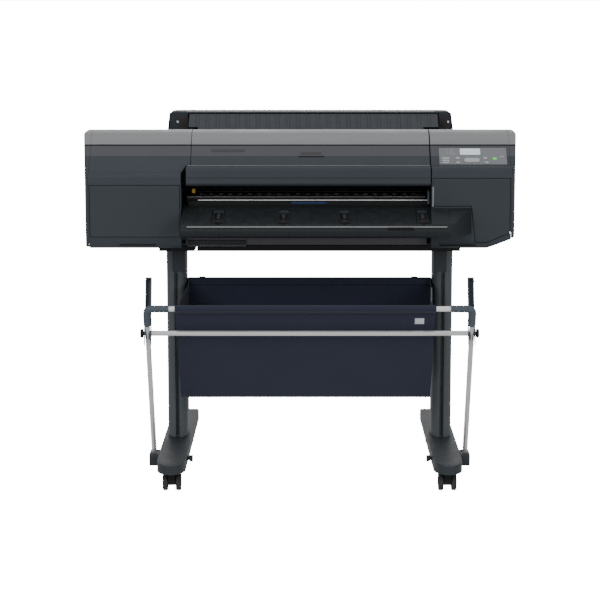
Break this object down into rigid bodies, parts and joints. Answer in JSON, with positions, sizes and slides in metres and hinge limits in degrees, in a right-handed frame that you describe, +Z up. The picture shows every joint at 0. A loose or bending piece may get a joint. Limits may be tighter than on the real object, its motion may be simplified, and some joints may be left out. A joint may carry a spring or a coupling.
{
  "type": "large format plotter",
  "caption": "Wide format floor plotter with lift-up top cover, front exit guide, rear roll unit and a rolling stand that carries a folding cloth print basket.",
  "frame": {"origin": "centre of the bounding box on the floor under the casters", "axes": "+X to the user's right along the printer's width, +Y from the user towards the back, +Z up"},
  "size_m": [1.1778, 0.822, 0.991],
  "materials": {
    "slate_plastic": "fine textured moulding",
    "charcoal_plastic": "fine textured moulding",
    "silver_plastic": "satin painted top band over a dark moulding",
    "black_plastic": "satin black moulding",
    "key_plastic": "pale grey satin keys",
    "stand_paint": "textured powder coat",
    "plate_paint": "black powder coat",
    "sheet_steel": "zinc plated sheet",
    "tube_aluminium": "satin anodised tube",
    "caster_rubber": "black tread",
    "basket_cloth": "navy woven nylon"
  },
  "bodies": {
    "printer": {"left_top_plate": "plate_paint", "top_stay": "plate_paint", "rear_stay": "stand_paint", "left_foot": "stand_paint", "right_foot": "stand_paint", "left_column": "stand_paint", "right_column": "stand_paint", "left_foot_bracket": "slate_plastic", "left_cabinet": "slate_plastic", "left_end_cover": "slate_plastic", "left_ink_tanks": "black_plastic", "right_foot_bracket": "slate_plastic", "right_cabinet": "slate_plastic", "right_end_cover": "slate_plastic", "right_ink_tanks": "black_plastic", "rear_cloth": "basket_cloth", "base_frame": "sheet_steel", "electronics_box": "sheet_steel", "carriage_rail": "sheet_steel", "control_panel": "charcoal_plastic", "ejection_guide": "charcoal_plastic", "rear_cover": "charcoal_plastic", "feed_guide": "slate_plastic", "platen": "black_plastic"},
    "front_left_swivel": {"front_left_caster_fork": "black_plastic"},
    "front_left_wheels": {"front_left_caster_wheels": "caster_rubber"},
    "rear_left_swivel": {"rear_left_caster_fork": "black_plastic"},
    "rear_left_wheels": {"rear_left_caster_wheels": "caster_rubber"},
    "front_right_swivel": {"front_right_caster_fork": "black_plastic"},
    "front_right_wheels": {"front_right_caster_wheels": "caster_rubber"},
    "rear_right_swivel": {"rear_right_caster_fork": "black_plastic"},
    "rear_right_wheels": {"rear_right_caster_wheels": "caster_rubber"},
    "basket_frame": {"left_leg_tube": "tube_aluminium", "right_leg_tube": "tube_aluminium", "left_side_arm": "slate_plastic", "right_side_arm": "slate_plastic", "left_elbow": "slate_plastic", "right_elbow": "slate_plastic", "upper_bar": "tube_aluminium", "lower_rod": "tube_aluminium", "front_cloth": "basket_cloth"},
    "left_clamp_knob": {"left_clamp_knob": "black_plastic"},
    "right_clamp_knob": {"right_clamp_knob": "black_plastic"},
    "top_cover": {"top_cover": "silver_plastic"},
    "left_ink_cover": {"left_ink_cover": "slate_plastic"},
    "right_ink_cover": {"right_ink_cover": "slate_plastic"},
    "function_keys": {"function_keys": "key_plastic"},
    "left_keys": {"left_keys": "key_plastic"},
    "cursor_pad": {"cursor_pad": "key_plastic"},
    "right_keys": {"right_keys": "key_plastic"},
    "power_key": {"power_key": "key_plastic"},
    "support_1": {"support_1": "slate_plastic"},
    "support_2": {"support_2": "slate_plastic"},
    "support_3": {"support_3": "slate_plastic"},
    "support_4": {"support_4": "slate_plastic"},
    "carriage": {"carriage": "charcoal_plastic"},
    "feed_roller": {"feed_roller": "sheet_steel"},
    "roll_spindle": {"roll_spindle": "charcoal_plastic"},
    "roll_stopper": {"roll_stopper": "charcoal_plastic"},
    "roll_cover": {"roll_cover": "charcoal_plastic"}
  },
  "joints": [
    {"name": "front_left_swivel", "type": "hinge", "parent": "printer", "child": "front_left_swivel", "pos_m": [-0.344, -0.27701, 0.06], "axis": [0, 0, 1], "continuous": true},
    {"name": "front_left_wheel_spin", "type": "hinge", "parent": "front_left_swivel", "child": "front_left_wheels", "pos_m": [-0.344, -0.261, 0.025], "axis": [1, 0, 0], "continuous": true},
    {"name": "rear_left_swivel", "type": "hinge", "parent": "printer", "child": "rear_left_swivel", "pos_m": [-0.344, 0.28299, 0.06], "axis": [0, 0, 1], "continuous": true},
    {"name": "rear_left_wheel_spin", "type": "hinge", "parent": "rear_left_swivel", "child": "rear_left_wheels", "pos_m": [-0.344, 0.299, 0.025], "axis": [1, 0, 0], "continuous": true},
    {"name": "front_right_swivel", "type": "hinge", "parent": "printer", "child": "front_right_swivel", "pos_m": [0.396, -0.27701, 0.06], "axis": [0, 0, 1], "continuous": true},
    {"name": "front_right_wheel_spin", "type": "hinge", "parent": "front_right_swivel", "child": "front_right_wheels", "pos_m": [0.396, -0.261, 0.025], "axis": [1, 0, 0], "continuous": true},
    {"name": "rear_right_swivel", "type": "hinge", "parent": "printer", "child": "rear_right_swivel", "pos_m": [0.396, 0.28299, 0.06], "axis": [0, 0, 1], "continuous": true},
    {"name": "rear_right_wheel_spin", "type": "hinge", "parent": "rear_right_swivel", "child": "rear_right_wheels", "pos_m": [0.396, 0.299, 0.025], "axis": [1, 0, 0], "continuous": true},
    {"name": "basket_fold", "type": "hinge", "parent": "printer", "child": "basket_frame", "pos_m": [0.026, -0.203, 0.078], "axis": [1, 0, 0], "range_deg": [-35, 0]},
    {"name": "left_clamp_turn", "type": "hinge", "parent": "basket_frame", "child": "left_clamp_knob", "pos_m": [-0.409, -0.37008, 0.44803], "axis": [-1, 0, 0], "range_deg": [0, 270]},
    {"name": "right_clamp_turn", "type": "hinge", "parent": "basket_frame", "child": "right_clamp_knob", "pos_m": [0.461, -0.37008, 0.44803], "axis": [1, 0, 0], "range_deg": [0, 270]},
    {"name": "top_cover_lift", "type": "hinge", "parent": "printer", "child": "top_cover", "pos_m": [0.022, 0.12399, 0.942], "axis": [-1, 0, 0], "range_deg": [0, 60]},
    {"name": "left_ink_cover_lift", "type": "hinge", "parent": "printer", "child": "left_ink_cover", "pos_m": [-0.439, -0.21501, 0.8178], "axis": [-1, 0, 0], "range_deg": [0, 80]},
    {"name": "right_ink_cover_lift", "type": "hinge", "parent": "printer", "child": "right_ink_cover", "pos_m": [0.456, -0.21501, 0.8368], "axis": [-1, 0, 0], "range_deg": [0, 80]},
    {"name": "function_keys_press", "type": "slide", "parent": "printer", "child": "function_keys", "axis": [0, 0.6999, -0.7142], "range_m": [0, 0.0012], "stiffness_N_per_m": 400, "springref_m": -0.0008},
    {"name": "left_keys_press", "type": "slide", "parent": "printer", "child": "left_keys", "axis": [0, 0.6999, -0.7142], "range_m": [0, 0.0012], "stiffness_N_per_m": 400, "springref_m": -0.0008},
    {"name": "cursor_pad_press", "type": "slide", "parent": "printer", "child": "cursor_pad", "axis": [0, 0.6999, -0.7142], "range_m": [0, 0.0012], "stiffness_N_per_m": 400, "springref_m": -0.0008},
    {"name": "right_keys_press", "type": "slide", "parent": "printer", "child": "right_keys", "axis": [0, 0.6999, -0.7142], "range_m": [0, 0.0012], "stiffness_N_per_m": 400, "springref_m": -0.0008},
    {"name": "power_key_press", "type": "slide", "parent": "printer", "child": "power_key", "axis": [0, 0.6999, -0.7142], "range_m": [0, 0.0012], "stiffness_N_per_m": 400, "springref_m": -0.0008},
    {"name": "support_1_flip", "type": "hinge", "parent": "printer", "child": "support_1", "pos_m": [-0.215, -0.275, 0.72493], "axis": [1, 0, 0], "range_deg": [0, 130]},
    {"name": "support_2_flip", "type": "hinge", "parent": "printer", "child": "support_2", "pos_m": [-0.043, -0.275, 0.72493], "axis": [1, 0, 0], "range_deg": [0, 130]},
    {"name": "support_3_flip", "type": "hinge", "parent": "printer", "child": "support_3", "pos_m": [0.118, -0.275, 0.72493], "axis": [1, 0, 0], "range_deg": [0, 130]},
    {"name": "support_4_flip", "type": "hinge", "parent": "printer", "child": "support_4", "pos_m": [0.325, -0.275, 0.72493], "axis": [1, 0, 0], "range_deg": [0, 130]},
    {"name": "carriage_travel", "type": "slide", "parent": "printer", "child": "carriage", "axis": [1, 0, 0], "range_m": [-0.88, 0.03]},
    {"name": "feed_roller_spin", "type": "hinge", "parent": "printer", "child": "feed_roller", "pos_m": [0.017, -0.03701, 0.771], "axis": [1, 0, 0], "continuous": true},
    {"name": "spindle_spin", "type": "hinge", "parent": "printer", "child": "roll_spindle", "pos_m": [0.0285, 0.301, 0.868], "axis": [1, 0, 0], "continuous": true},
    {"name": "stopper_slide", "type": "slide", "parent": "roll_spindle", "child": "roll_stopper", "axis": [1, 0, 0], "range_m": [-0.55, 0.07]},
    {"name": "roll_cover_lift", "type": "hinge", "parent": "printer", "child": "roll_cover", "pos_m": [0.0285, 0.40699, 0.853], "axis": [-1, 0, 0], "range_deg": [0, 65]}
  ]
}
